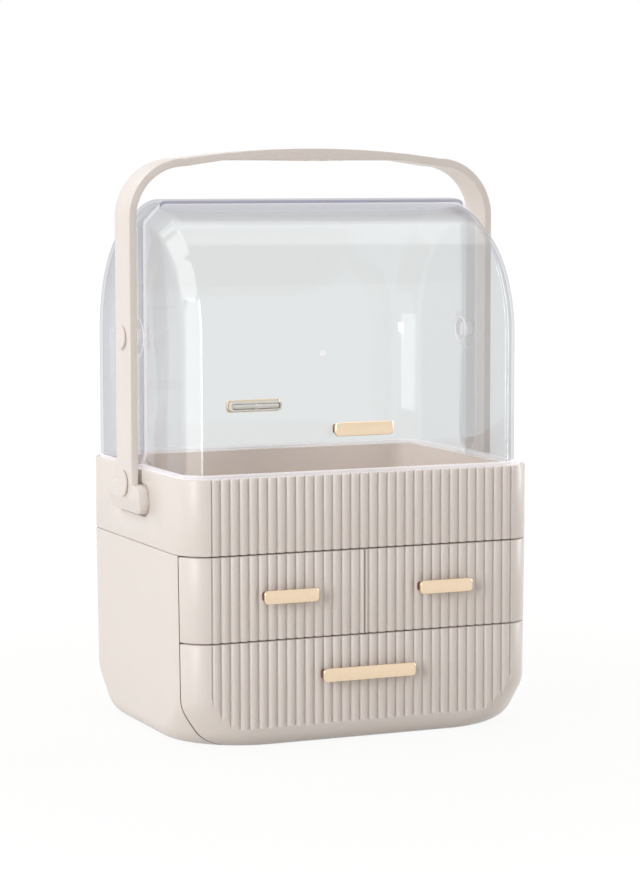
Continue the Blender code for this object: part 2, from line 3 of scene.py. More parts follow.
import bmesh
import bpy
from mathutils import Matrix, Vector


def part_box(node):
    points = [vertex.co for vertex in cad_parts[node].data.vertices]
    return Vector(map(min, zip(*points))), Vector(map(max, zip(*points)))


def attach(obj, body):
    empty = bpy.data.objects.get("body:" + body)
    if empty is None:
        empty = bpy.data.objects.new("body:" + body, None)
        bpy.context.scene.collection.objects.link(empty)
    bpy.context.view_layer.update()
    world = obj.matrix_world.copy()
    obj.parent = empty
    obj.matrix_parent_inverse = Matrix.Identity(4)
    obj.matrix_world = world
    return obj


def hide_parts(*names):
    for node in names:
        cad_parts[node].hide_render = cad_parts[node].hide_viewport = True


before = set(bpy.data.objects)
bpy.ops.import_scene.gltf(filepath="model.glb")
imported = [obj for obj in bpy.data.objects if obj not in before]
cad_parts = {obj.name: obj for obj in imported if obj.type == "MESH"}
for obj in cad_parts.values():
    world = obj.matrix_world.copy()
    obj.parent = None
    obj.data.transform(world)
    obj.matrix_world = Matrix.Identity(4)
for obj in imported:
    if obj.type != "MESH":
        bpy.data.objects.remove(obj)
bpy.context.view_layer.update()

MM = 0.001

# Body of the organizer
body_width = 230 * MM
body_depth = 176 * MM
corner_radius = 21 * MM
corner_steps = 14
foot_roll = 10 * MM
corner_spread_height = 31 * MM
corner_shoulder_share = 0.3
corner_spread = 34 * MM
side_draft = 1.4 * MM
tray_seam = 115.4 * MM
tray_play = 0.15 * MM
shelf_seam = 63.7 * MM
rim_height = 160.5 * MM
seam_plane = -74 * MM
shell_front = -73.2 * MM
seam_gap = 0.8 * MM
shell_wall = 2.5 * MM

# Rounded rims: the width of the rounding, and where between its ends the middle ring lies
edge_round = 0.6 * MM
round_step = 0.3

# Ribs of the fronts
rib_count = 33
rib_steps = 10
rib_field = 196 * MM
rib_pitch = rib_field / rib_count
rib_depth = 1.6 * MM
rib_drop = 0.2 * MM
rib_shoulder = 0.5 * MM
rib_end_height = 11.3 * MM
rib_end_corner = 20 * MM
rib_end_fade = 0.9 * MM
rib_end_level = 0.45 * MM
rib_end_top = 34 * MM

# Tray
tray_wall = 7 * MM
tray_floor = 3 * MM
well_corner = 15 * MM
well_round = 4 * MM
well_edge = 6.5 * MM
pocket_top = 170 * MM

# Clear cover
pivot_height = 239.5 * MM
cover_radius = 83 * MM
cover_half_width = 112 * MM
cover_chamfer = 12.4 * MM
inner_radius = 79.5 * MM
inner_half_width = 109.3 * MM
inner_chamfer = 10.2 * MM
cover_wall = 1.8 * MM
cover_round = 2.4 * MM
parting_place = -4 * MM
lap = 8 * MM
parting_gap = 0.5 * MM
flange_low = 159.8 * MM
flange_high = 162.4 * MM
flange_half_width = 112.4 * MM
flange_half_depth = 84.6 * MM
flange_corner = 18.4 * MM
toe_rise = 13 * MM
lobe_radius = 12.5 * MM
gate_place = (-24 * MM, 232 * MM)
gate_half_width = 1.6 * MM
gate_half_height = 1.8 * MM
gate_corner = 1.5 * MM

# Two less the root of two: how much smaller the chamfer inside a wall is, for each unit of its thickness
chamfer_loss = 0.586

# Pivot pins
pin_radius = 4 * MM
pin_hole_radius = 4.4 * MM
pin_head_radius = 8 * MM
pin_head_thickness = 1.5 * MM
groove_radius = 5.9 * MM
boss_radius = 3.9 * MM
groove_depth = 0.7 * MM

# Handle
handle_half_width = 121.2 * MM
handle_thickness = 4.8 * MM
strap_half_width = 13 * MM
handle_top = 353 * MM
handle_corner = 36 * MM
handle_crown = 6 * MM
grip_height = 345.8 * MM
grip_half_length = 60 * MM
wave_half_length = 24 * MM
wave_half_pitch = 6 * MM
wave_height = 0.5 * MM
foot_height = 142.5 * MM
foot_half_height = 8.6 * MM
foot_half_width = 27 * MM
foot_inner = 113.1 * MM
foot_taper = 1.9 * MM

# Pulls
bar_half_height = 4.1 * MM
bar_corner = 2.4 * MM
boss_bar_half_width = 16.2 * MM
boss_bar_half_height = 1.4 * MM
boss_bar_corner = 1.3 * MM
post_radius = 1.75 * MM

# Cutting tools end this far off, or this little past a face
far_off = 200 * MM
past = 5 * MM

# Edges sharper than this stay sharp in the shading, in degrees
sharp_angle = 35

# The photograph's camera: place in metres, angles in degrees, focal length and height in pixels
camera_place = (-0.6759, -1.5773, 0.3395)
camera_down = 5.727
camera_roll = 0.065
camera_turn = -23.467
focal_pixels = 2765.8
picture_height = 896

# Near the middle of the object, where all lamps point
lamp_aim = Vector((0, 0, 0.16))


# Shapes

def loft(rings):
    """A closed solid: one face through the first ring, extruded from ring to ring.

    Extruding leaves edges and faces in a different order each run, so they are put in order at the end."""
    mesh = bmesh.new()
    place = mesh.verts.layers.int.new("place")
    base = mesh.faces.new([mesh.verts.new(point) for point in rings[0]])
    for count, corner in enumerate(base.verts):
        corner[place] = count
    cap = base
    for ring in rings[1:]:
        grown = bmesh.ops.extrude_face_region(mesh, geom=[cap])["geom"]
        if cap != base:
            bmesh.ops.delete(mesh, geom=[cap], context="FACES_ONLY")
        cap = next(item for item in grown if isinstance(item, bmesh.types.BMFace))
        for corner in cap.verts:
            corner.co = ring[corner[place]]
    mesh.verts.index_update()

    def order(part):
        numbers = [corner.index for corner in part.verts]
        return min(numbers) * len(mesh.verts) + max(numbers)

    mesh.edges.sort(key=order)
    mesh.faces.sort(key=order)
    bmesh.ops.recalc_face_normals(mesh, faces=mesh.faces)
    return mesh


def along_x(outline, low, high):
    """An outline of Y and Z, extruded along X."""
    return loft([[(place, y, z) for y, z in outline] for place in (low, high)])


def along_y(outline, low, high):
    """An outline of X and Z, extruded along Y."""
    return loft([[(x, place, z) for x, z in outline] for place in (low, high)])


def at_height(outline, z):
    """An outline of X and Y as a level ring."""
    return [(x, y, z) for x, y in outline]


def mirrored(points):
    """The same points on the other side of the middle, in reverse order."""
    return [(-across, other) for across, other in reversed(points)]


def block(low, high):
    """A plain cutting block between two corners."""
    mesh = bmesh.new()
    bmesh.ops.create_cube(mesh, size=1)
    size = [b - a for a, b in zip(low, high)]
    bmesh.ops.scale(mesh, vec=size, verts=mesh.verts)
    bmesh.ops.translate(mesh, vec=[(a + b) / 2 for a, b in zip(low, high)], verts=mesh.verts)
    return mesh


def rounded(half_across, half_up, radius, steps, centre=(0, 0)):
    """A rectangle with round corners, anticlockwise."""
    points = []
    for quarter in range(4):
        across = centre[0] + (1 if quarter in (0, 3) else -1) * (half_across - radius)
        up = centre[1] + (1 if quarter < 2 else -1) * (half_up - radius)
        for step in range(steps + 1):
            turn = math.pi / 2 * (quarter + step / steps)
            points.append((across + radius * math.cos(turn), up + radius * math.sin(turn)))
    return points


def shrink(outline, distance, least_reach=0.5):
    """An outline moved inwards by a distance, point by point, with a limit at sharp corners."""
    count = len(outline)
    area = sum(
        outline[k][0] * outline[(k + 1) % count][1] - outline[(k + 1) % count][0] * outline[k][1]
        for k in range(count)
    )
    turn = 1 if area > 0 else -1
    moved = []
    for k in range(count):
        here = Vector(outline[k])
        before = (here - Vector(outline[k - 1])).normalized()
        after = (Vector(outline[(k + 1) % count]) - here).normalized()
        normal = Vector((-(before.y + after.y), before.x + after.x))
        reach = max(normal.length_squared, least_reach)
        moved.append(tuple(here + normal * (2 * turn * distance / reach)))
    return moved


def lower_rim(low):
    """Heights of the three rings that round a lower rim, each with its share of the rounding drawn in."""
    return [(low, 1), (low + round_step * edge_round, round_step), (low + edge_round, 0)]


def upper_rim(high):
    """The same for an upper rim."""
    return [(high - edge_round, 0), (high - round_step * edge_round, round_step), (high, 1)]


def shade(data):
    """Shades a mesh smooth except at its sharp edges."""
    data.shade_smooth()
    data.set_sharp_from_angle(angle=math.radians(sharp_angle))


def object_from(name, mesh):
    """An object from a bmesh."""
    data = bpy.data.meshes.new(name)
    mesh.to_mesh(data)
    mesh.free()
    shade(data)
    made = bpy.data.objects.new(name, data)
    bpy.context.collection.objects.link(made)
    return made


def settle(made):
    """Turns an object's modifiers into its mesh."""
    depsgraph = bpy.context.evaluated_depsgraph_get()
    data = bpy.data.meshes.new_from_object(made.evaluated_get(depsgraph))
    old = made.data
    made.modifiers.clear()
    made.data = data
    bpy.data.meshes.remove(old)
    shade(data)


def combine(made, other, operation="DIFFERENCE"):
    """Cuts an object by another, or joins them, with an exact Boolean. The other object is used up."""
    step = made.modifiers.new("Boolean", "BOOLEAN")
    step.operation = operation
    step.solver = "EXACT"
    step.object = other
    settle(made)
    bpy.data.objects.remove(other, do_unlink=True)


def carve(made, mesh, operation="DIFFERENCE"):
    """The same with a bmesh as the other solid."""
    combine(made, object_from(f"{made.name}_tool", mesh), operation)


def soften(made, width, segments=3, angle=50):
    """Rounds the edges that are sharper than an angle in degrees."""
    step = made.modifiers.new("Bevel", "BEVEL")
    step.width = width
    step.segments = segments
    step.limit_method = "ANGLE"
    step.angle_limit = math.radians(angle)
    settle(made)


def dress(made, look, body, slot, *nodes):
    """Gives a piece its material, the body that it moves with and the nodes that it stands for."""
    made.data.materials.clear()
    made.data.materials.append(look)
    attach(made, body)
    if nodes:
        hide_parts(*nodes)


def paint(made, looks, pick):
    """Adds more materials to a piece, and lets pick say which one each face shows."""
    for look in looks:
        made.data.materials.append(look)
    for face in made.data.polygons:
        face.material_index = pick(face)


def let_light_through(made):
    """Lamps, bounced light and reflections pass a thin clear wall, so that what is inside stays bright."""
    made.visible_shadow = False
    made.visible_diffuse = False
    made.visible_glossy = False


# Materials

def linear(code):
    """A colour in sRGB hex as linear values."""
    parts = [int(code[k : k + 2], 16) / 255 for k in (1, 3, 5)]
    return [p / 12.92 if p <= 0.04045 else ((p + 0.055) / 1.055) ** 2.4 for p in parts] + [1]


def node(tree, kind, settings=None, links=None, **fields):
    """Adds a node with its fields, its sockets' values and its links."""
    made = tree.nodes.new(kind)
    for name, value in fields.items():
        setattr(made, name, value)
    for name, value in (settings or {}).items():
        made.inputs[name].default_value = value
    for name, source in (links or {}).items():
        tree.links.new(source, made.inputs[name])
    return made


def start_material(name):
    """An empty node material."""
    look = bpy.data.materials.new(name)
    look.use_nodes = True
    look.node_tree.nodes.clear()
    return look, look.node_tree


def show(tree, shader):
    """Sends a shader to the material's output."""
    node(tree, "ShaderNodeOutputMaterial", links={"Surface": shader.outputs[0]})


def noise(tree, size, detail):
    """Noise in the object's own space, with features of about a size."""
    place = node(tree, "ShaderNodeTexCoord").outputs["Object"]
    made = node(tree, "ShaderNodeTexNoise", {"Scale": 1 / size, "Detail": detail}, {"Vector": place})
    return made.outputs["Fac"]


def blend(tree, share, colour, other):
    """Two colours in sRGB hex, mixed by a share."""
    colours = {"A": linear(colour), "B": linear(other)}
    return node(tree, "ShaderNodeMix", colours, {"Factor": share}, data_type="RGBA").outputs[2]


def spread(tree, value, low, high):
    """The middle part of a noise, drawn out between two values."""
    ends = {"From Min": 0.3, "From Max": 0.7, "To Min": low, "To Max": high}
    return node(tree, "ShaderNodeMapRange", ends, {"Value": value}).outputs["Result"]


def mix_shaders(tree, share, shader, other):
    """Two shaders mixed by a share."""
    return node(tree, "ShaderNodeMixShader", links={0: share, 1: shader.outputs[0], 2: other.outputs[0]})


def moulded_abs(name, colour, shade_colour, roughness):
    """Injection-moulded ABS with a fine matt grain.

    Low broad clouds of colour as real mouldings have, and a grain of 0.35 mm that blurs the gloss."""
    look, tree = start_material(name)
    grain = noise(tree, 0.35 * MM, 3)
    bump = node(tree, "ShaderNodeBump", {"Strength": 0.06, "Distance": 0.05 * MM}, {"Height": grain})
    shader = node(
        tree,
        "ShaderNodeBsdfPrincipled",
        {"IOR": 1.5, "Subsurface Weight": 0.04, "Subsurface Scale": 2 * MM},
        {
            "Base Color": blend(tree, noise(tree, 60 * MM, 2), colour, shade_colour),
            "Roughness": spread(tree, grain, roughness - 0.05, roughness + 0.05),
            "Normal": bump.outputs["Normal"],
        },
    )
    show(tree, shader)
    return look


def clear_styrene(name, colour, edge_colour):
    """Clear moulded polystyrene: a thin glossy wall that tints to grey-lilac where it is seen edge-on.

    Rays from lamps go straight through it, so that what is inside stays lit."""
    look, tree = start_material(name)
    slant = node(tree, "ShaderNodeLayerWeight", {"Blend": 0.5}).outputs["Facing"]
    steep = node(tree, "ShaderNodeMath", {1: 5}, {0: slant}, operation="POWER").outputs[0]
    shine = node(
        tree,
        "ShaderNodeMapRange",
        {"From Min": 0, "From Max": 1, "To Min": 0.04, "To Max": 0.85},
        {"Value": steep},
    )
    tint = blend(tree, steep, colour, edge_colour)
    through = node(tree, "ShaderNodeBsdfTransparent", links={"Color": tint})
    rough = spread(tree, noise(tree, 45 * MM, 1), 0.02, 0.05)
    gloss = node(tree, "ShaderNodeBsdfGlossy", links={"Roughness": rough})
    wall = mix_shaders(tree, shine.outputs["Result"], through, gloss)
    lit = node(tree, "ShaderNodeBsdfTransparent", {"Color": linear("#F8F8F9")})
    from_lamp = node(tree, "ShaderNodeLightPath").outputs["Is Shadow Ray"]
    show(tree, mix_shaders(tree, from_lamp, wall, lit))
    return look


def lit_edge(name, colour, shade_colour, glow=0.25):
    """A moulded edge of the clear parts, half clear. The glow is painted light that stands for the light
    that it gathers.
    """
    look, tree = start_material(name)
    milk = node(
        tree,
        "ShaderNodeBsdfPrincipled",
        {"Roughness": 0.15, "Alpha": 0.6, "Emission Color": linear("#FFFFFF"), "Emission Strength": glow},
        {"Base Color": blend(tree, noise(tree, 60 * MM, 1), colour, shade_colour)},
    )
    show(tree, milk)
    return look


def gold_plate(name, colour, shade_colour, roughness):
    """Plating on a moulded pull: bright metal with a faint uneven polish."""
    look, tree = start_material(name)
    polish = noise(tree, 6 * MM, 4)
    shader = node(
        tree,
        "ShaderNodeBsdfPrincipled",
        {"Metallic": 1},
        {
            "Base Color": blend(tree, polish, colour, shade_colour),
            "Roughness": spread(tree, polish, roughness - 0.04, roughness + 0.04),
        },
    )
    show(tree, shader)
    return look


# Body

def body_section(height):
    """Half-width, half-depth and corner radius of the body at a height."""
    below = max(foot_roll - height, 0)
    roll = foot_roll - math.sqrt(max(foot_roll**2 - below**2, 0))
    lean = side_draft * (1 - min(height / tray_seam, 1))
    depth = min(max(1 - height / corner_spread_height, 0), 1)
    shoulder = corner_shoulder_share
    ramp = depth**2 / (2 * shoulder) if depth < shoulder else depth - shoulder / 2
    growth = corner_spread * ramp / (1 - shoulder / 2)
    half_width = body_width / 2 - lean - roll
    return half_width, body_depth / 2 - roll, corner_radius + growth - roll


def body_levels(low, high, roll_steps=12, corner_levels=24):
    """Heights of the rings that follow the body's underside and its low corners."""
    levels = {low, high}
    for step in range(roll_steps + 1):
        levels.add(foot_roll * (1 - math.cos(math.pi / 2 * step / roll_steps)))
    for step in range(1, corner_levels + 1):
        levels.add(foot_roll + (corner_spread_height - foot_roll) * step / corner_levels)
    return sorted(level for level in levels if low <= level <= high)


def rib_places():
    """Where the front's points lie from left to right, with a last point past each outer groove."""
    half = rib_field / 2
    places = [-half - rib_shoulder]
    for rib in range(rib_count):
        for step in range(rib_steps):
            places.append(-half + rib_pitch * (rib + step / rib_steps))
    return places + [half, half + rib_shoulder]


def rib_front(across):
    """How far behind the body's foremost plane the ribs lie, or None beside them."""
    half = rib_field / 2
    if abs(across) > half + rib_shoulder / 2:
        return None
    share = 2 * (((across + half) / rib_pitch) % 1) - 1
    if abs(across) > half - rib_pitch / 100:
        share = 1
    radius = (rib_depth**2 + (rib_pitch / 2) ** 2) / (2 * rib_depth)
    return rib_drop + radius - math.sqrt(radius**2 - (share * rib_pitch / 2) ** 2)


def rib_share(across, height):
    """How much of the ribs' depth shows: all of it in the field, none in the plain border."""
    edge = rib_field / 2
    outside = max(abs(across) - (edge - rib_end_corner), 0)
    rise = rib_end_corner - math.sqrt(max(rib_end_corner**2 - outside**2, 0))
    share = (height - rib_end_height - rise) / rib_end_fade
    share = min(max(share, 0), 1)
    return share * share * (3 - 2 * share)


def ribbed_front(section, room, end, share):
    """The front of a body section from left to right, and its right corner up to an angle.

    Room is half the width that the ribs may take, and share says how much of its depth a rib keeps."""
    half_width, half_depth, radius = section
    centre = half_width - radius
    middle = half_depth - radius
    last = rib_places()[-1]
    squeeze = min(1, room / last)
    front = []
    for place in rib_places():
        across = place * squeeze
        plain = -half_depth
        if abs(across) > centre:
            plain = -middle - math.sqrt(max(radius**2 - (abs(across) - centre) ** 2, 0))
        drop = rib_front(place)
        if drop is not None:
            plain += max(-body_depth / 2 + drop - plain, 0) * share(place)
        front.append((across, plain))
    start = math.asin((last * squeeze - centre) / radius)
    corner = []
    for step in range(1, corner_steps + 1):
        turn = start + (end - start) * step / corner_steps
        corner.append((centre + radius * math.sin(turn), -middle - radius * math.cos(turn)))
    return front, corner


def front_line(height, fading, left=None, right=None):
    """The body's outline in front of the seam plane at a height, from left to right.

    Fading ribs run out into the plain border. Left and right are the places where a front ends early."""
    section = body_section(height)
    half_width, half_depth, radius = section
    ahead = -seam_plane - (half_depth - radius)
    room = half_width - radius + math.sqrt(radius**2 - ahead**2) - 2 * MM
    front, corner = ribbed_front(
        section, room, math.acos(ahead / radius), lambda place: rib_share(place, height) if fading else 1
    )
    points = mirrored(corner) + front + corner
    step = edge_round * round_step
    if left is not None:
        points = [(x, y) for x, y in points if x > left + edge_round]
        y = points[0][1]
        end = [(left, seam_plane), (left, y + edge_round), (left + step, y + step), (left + edge_round, y)]
        points = end + points
    if right is not None:
        points = [(x, y) for x, y in points if x < right - edge_round]
        y = points[-1][1]
        points += [(right - edge_round, y), (right - step, y + step), (right, y + edge_round)]
        points.append((right, seam_plane))
    return points


def upper_fronts(look):
    """The two upper drawer fronts."""
    low = shelf_seam + seam_gap / 2
    high = tray_seam - seam_gap + tray_play
    for name, body, left, right in (
        ("upper_left_face", "upper_left_drawer", None, -seam_gap / 2),
        ("upper_right_face", "upper_right_drawer", seam_gap / 2, None),
    ):
        rings = [
            at_height(shrink(front_line(z, False, left, right), share * edge_round), z)
            for z, share in lower_rim(low) + upper_rim(high)
        ]
        made = object_from(name, loft(rings))
        dress(made, look, body, "cream_plastic", name.replace("face", "front"))


def lower_front(look):
    """The lower drawer front, with close levels where the ribs run out into its plain border."""
    start = rib_end_height - MM
    levels = [z for z in body_levels(0, corner_spread_height) if z < start]
    count = math.ceil((rib_end_top - start) / rib_end_level)
    levels += [start + rib_end_level * (level + 0.5) for level in range(count)]
    rings = [at_height(front_line(z, True), z) for z in levels]
    for z, share in upper_rim(shelf_seam - seam_gap / 2):
        rings.append(at_height(shrink(front_line(z, True), share * edge_round), z))
    made = object_from("lower_face", loft(rings))
    dress(made, look, "lower_drawer", "cream_plastic", "lower_front")


def tray_outline(half_width, half_depth, radius, ribs=0):
    """The tray's plan outline, with the front's points where the ribs need them."""
    front, corner = ribbed_front(
        (half_width, half_depth, radius), half_width - 3 * MM, math.pi / 2, lambda place: ribs
    )
    back = []
    for step in range(corner_steps + 1):
        turn = math.pi / 2 * step / corner_steps
        across = half_width - radius + radius * math.cos(turn)
        back.append((across, half_depth - radius + radius * math.sin(turn)))
    return front + corner + back + mirrored(back) + mirrored(corner)


def pocket_outline(margin):
    """Side view of a pocket of the tray: the strap's slot and the foot's lobe under it."""
    half_height = foot_half_height + margin
    half_strap = strap_half_width + margin
    lobe = rounded(foot_half_width + margin, half_height, half_height * 0.999, 20, (0, foot_height))
    right = [p for p in lobe if p[0] > half_strap + 0.01 * MM]
    half = [(0, foot_height - half_height)]
    half += sorted((p for p in right if p[1] < foot_height), key=lambda p: p[1])
    half += sorted((p for p in right if p[1] >= foot_height), key=lambda p: p[1])
    half += [(half_strap, foot_height + half_height), (half_strap, pocket_top)]
    return half + mirrored(half[1:])


def tray(look, well_shade_look, fillet_steps=5):
    """The tray: outer wall with ribs, rounded rim, ledge for the cover and a filleted well, whose darker
    cream is painted shade.
    """
    half_width, half_depth = body_width / 2, body_depth / 2
    low = tray_seam + tray_play
    rings = []
    for z, share in lower_rim(low) + upper_rim(rim_height):
        outline = tray_outline(half_width, half_depth, corner_radius, 1)
        rings.append(at_height(shrink(outline, share * edge_round), z))

    def inner(z, inset, radius):
        rings.append(at_height(tray_outline(half_width - inset, half_depth - inset, radius), z))

    for drop, inset, radius in (
        (0, 1.7, 19.3),
        (0.1, 1.9, 19.1),
        (0.3, 2.0, 19),
        (1, 2.0, 19),
        (1, 6.2, 15.8),
        (1.2, 6.7, 15.3),
        (1.7, 7, 15),
    ):
        inner(rim_height - drop * MM, inset * MM, radius * MM)
    floor = low + tray_floor
    for step in range(fillet_steps + 1):
        turn = math.pi / 2 * step / fillet_steps
        inset = well_round * (1 - math.cos(turn))
        inner(floor + well_round * (1 - math.sin(turn)), tray_wall + inset, well_corner - inset)
    made = object_from("tray_bowl", loft(rings))
    for side in (-1, 1):
        rings = []
        for place, margin in ((112.8, 1.6), (114.5, 1.6), (114.85, 1.75), (115.0, 2.1), (118, 2.1)):
            rings.append([(side * place * MM, y, z) for y, z in pocket_outline(margin * MM)])
        carve(made, loft(rings))
    dress(made, look, "body", "cream_plastic", "tray")

    # The well's faces take the darker cream that paints the shade inside
    def pick(face):
        x, y, z = face.center
        inside = abs(x) < half_width - well_edge and abs(y) < half_depth - well_edge
        return 1 if inside and z > low + MM else 0

    paint(made, [well_shade_look], pick)


def cabinet(look, seam_shadow_look):
    """The cabinet's shell, open in front and above, with softly rounded mouth edges.

    Its front rim is painted dark brown, a painted shadow for the closed seams."""
    top = tray_seam - tray_play
    inner_drop = shell_wall * 0.6

    def ring(z, level, cut):
        return at_height(rounded(*(size - cut for size in body_section(level)), 20), z)

    outer = [ring(z, z, 0) for z in body_levels(0, top - 1.5 * edge_round)]
    outer += [ring(z, z, share * edge_round) for z, share in upper_rim(top)]
    inner = [ring(z, max(z - inner_drop, 0), shell_wall) for z in body_levels(shell_wall, top + past)]
    made = object_from("cabinet_body", loft(outer))
    carve(made, loft(inner))
    carve(made, block((-far_off, -far_off, -far_off), (far_off, shell_front, far_off)))
    soften(made, 0.4 * MM, segments=2, angle=60)
    dress(made, look, "body", "cream_plastic", "cabinet_shell")
    # The front rim faces take the painted seam shadow
    paint(made, [seam_shadow_look], lambda face: int(face.normal.y < -0.9 and face.center.y < shell_front + MM))


# Clear cover

def rounded_ends(half_width, radius, chamfer, soft, steps=4):
    """Places along X and reaches of the cover's end: flat end, 45 degree chamfer, both softened."""

    def bend(before, corner, after):
        """A curve between two places that a corner draws towards it."""
        ends = list(zip(before, corner, after))
        shares = [step / steps for step in range(steps + 1)]
        return [
            tuple((1 - t) ** 2 * a + 2 * t * (1 - t) * b + t * t * c for a, b, c in ends) for t in shares
        ]

    slope = soft / math.sqrt(2)
    lean = 0.02 * MM
    end = (half_width, radius - chamfer)
    shoulder = (half_width - chamfer, radius)
    right = bend((end[0] - lean, end[1] - soft), end, (end[0] - slope, end[1] + slope))
    right += bend((shoulder[0] + slope, shoulder[1] - slope), shoulder, (shoulder[0] - soft, shoulder[1]))
    right.reverse()
    return mirrored(right) + right


def cover_solid(side, radius, half_width, chamfer, edge, low, soft, steps=40):
    """Half of the cover as a full solid, in front of the pivot for side -1 and behind for side 1."""
    rings = []
    for place, reach in rounded_ends(half_width, radius, chamfer, soft):
        points = [(edge, low), (-reach, low)]
        last = -math.asin(edge / reach)
        for step in range(steps + 1):
            turn = math.pi / 2 + (last - math.pi / 2) * step / steps
            points.append((-reach * math.sin(turn), pivot_height + reach * math.cos(turn)))
        rings.append([(place, -side * y, z) for y, z in points])
    return loft(rings)


def toe(side, parting, steps=16):
    """The swept-away lower corner where one half passes the other."""
    start = parting - parting_gap / 2
    low = flange_high + 0.5 * MM
    points = [(start, flange_low - past), (start, low)]
    for step in range(1, steps + 1):
        turn = math.pi / 2 * step / steps
        rise = toe_rise * (1 - math.cos(turn))
        points.append((start + (lap + parting_gap) * math.sin(turn), low + rise))
    end = parting + lap + past
    points += [(end, low + toe_rise), (end, flange_low - past)]
    return along_x([(-side * y, z) for y, z in points], -far_off, far_off)


def disc(radius, start, stop, soft=0.4 * MM, steps=64):
    """A round boss about the pivot axis with softened rims."""
    low, high = sorted((start, stop))
    rings = []
    for place, inset in ((low, soft), (low + soft, 0), (high - soft, 0), (high, soft)):
        ring = []
        for step in range(steps):
            turn = 2 * math.pi * step / steps
            reach = radius - inset
            ring.append((place, reach * math.cos(turn), pivot_height + reach * math.sin(turn)))
        rings.append(ring)
    return loft(rings)


def flange(name, side, parting):
    """The flat rim under one clear half, cut off at the parting."""
    rings = []
    for z, cut in (
        (flange_low, 0.4 * MM),
        (flange_low + 0.4 * MM, 0),
        (flange_high - 0.6 * MM, 0),
        (flange_high, 0.6 * MM),
    ):
        outline = rounded(flange_half_width - cut, flange_half_depth - cut, flange_corner - cut, 16)
        rings.append(at_height(outline, z))
    made = object_from(name, loft(rings))
    near, far = sorted((-side * (parting - parting_gap / 2), -side * far_off))
    carve(made, block((-far_off, near, 0), (far_off, far, far_off)))
    return made


def cover_half(name, side, radius, half_width, chamfer, lobes, looks, body, cad_node):
    """One clear half: wall, flange, pivot lobes and the swept toe."""
    look, glowing_edge_look, shaded_top_look = looks
    parting = -side * parting_place
    edge = parting + lap
    made = object_from(name, cover_solid(side, radius, half_width, chamfer, edge, flange_low, cover_round))
    combine(made, flange(f"{name}_rim", side, parting), "UNION")
    for end in (-1, 1):
        carve(made, disc(lobe_radius, end * lobes[0], end * lobes[1]), "UNION")
    space = cover_solid(
        side,
        radius - cover_wall,
        half_width - cover_wall,
        chamfer - chamfer_loss * cover_wall,
        edge + past,
        flange_low - past,
        cover_round * 0.8,
    )
    carve(made, space)
    carve(made, toe(side, parting))
    carve(made, disc(pin_hole_radius, -far_off, far_off))
    soften(made, 0.3 * MM, segments=2, angle=60)
    dress(made, look, body, "clear_plastic", cad_node)

    def pick(face):
        """Milky with a painted glow at the flange, the parting edges and the lobes' rims, and a painted
        dark shade on the rear half's top edge.
        """
        x, y, z = face.center
        near_parting = abs(y) < 30 * MM
        faces_side = abs(face.normal.x) >= 0.75
        on_flange = z < flange_high + 0.3 * MM
        on_end = near_parting and not faces_side and abs(x) > half_width - 4 * MM
        on_lobe = math.hypot(y, z - pivot_height) < lobe_radius + 0.2 * MM and not faces_side
        if on_flange or on_end or on_lobe:
            return 1
        on_top = near_parting and abs(face.normal.y) > 0.75 and z > pivot_height
        return 2 if on_top and side > 0 else 0

    # The rear half's top edge takes the dark violet painted as shade
    paint(made, [glowing_edge_look, shaded_top_look], pick)
    let_light_through(made)


def gate_mark(look):
    """The small round mark that the moulding left in the middle of the clear front wall."""
    outline = rounded(gate_half_width, gate_half_height, gate_corner, 10, gate_place)
    made = object_from("gate_mark", along_y(outline, -inner_radius - 0.5 * MM, -inner_radius + 0.3 * MM))
    soften(made, 0.35 * MM)
    # The mark takes the milky edge look with its painted glow
    dress(made, look, "front_half", "clear_plastic")
    let_light_through(made)


def pivot_pin(name, side, look, glowing_edge_look):
    """A clear pin with a round head that has a raised rim and a centre boss on its inner side."""
    low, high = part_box(name)
    face, end = (high[0], low[0]) if side < 0 else (low[0], high[0])
    back = face + side * pin_head_thickness
    made = object_from(f"{name}_turned", disc(pin_head_radius, face, back))
    carve(made, disc(pin_radius, back - side * 0.2 * MM, end), "UNION")
    crisp = 0.01 * MM
    ring = disc(groove_radius, face - side * MM, face + side * groove_depth, crisp)
    groove = object_from(f"{name}_groove", ring)
    carve(groove, disc(boss_radius, face - side * 2 * MM, face + side * MM, crisp))
    combine(made, groove)
    soften(made, 0.25 * MM, segments=2)
    dress(made, look, "body", "clear_pins", name)
    head_end = max(abs(face), abs(back)) + 0.05 * MM
    # The head's rims take the milky edge look with its painted glow, as painted highlight rings
    paint(made, [glowing_edge_look], lambda part: int(abs(part.center.x) < head_end and abs(part.normal.x) < 0.9))
    let_light_through(made)


# Handle and pulls

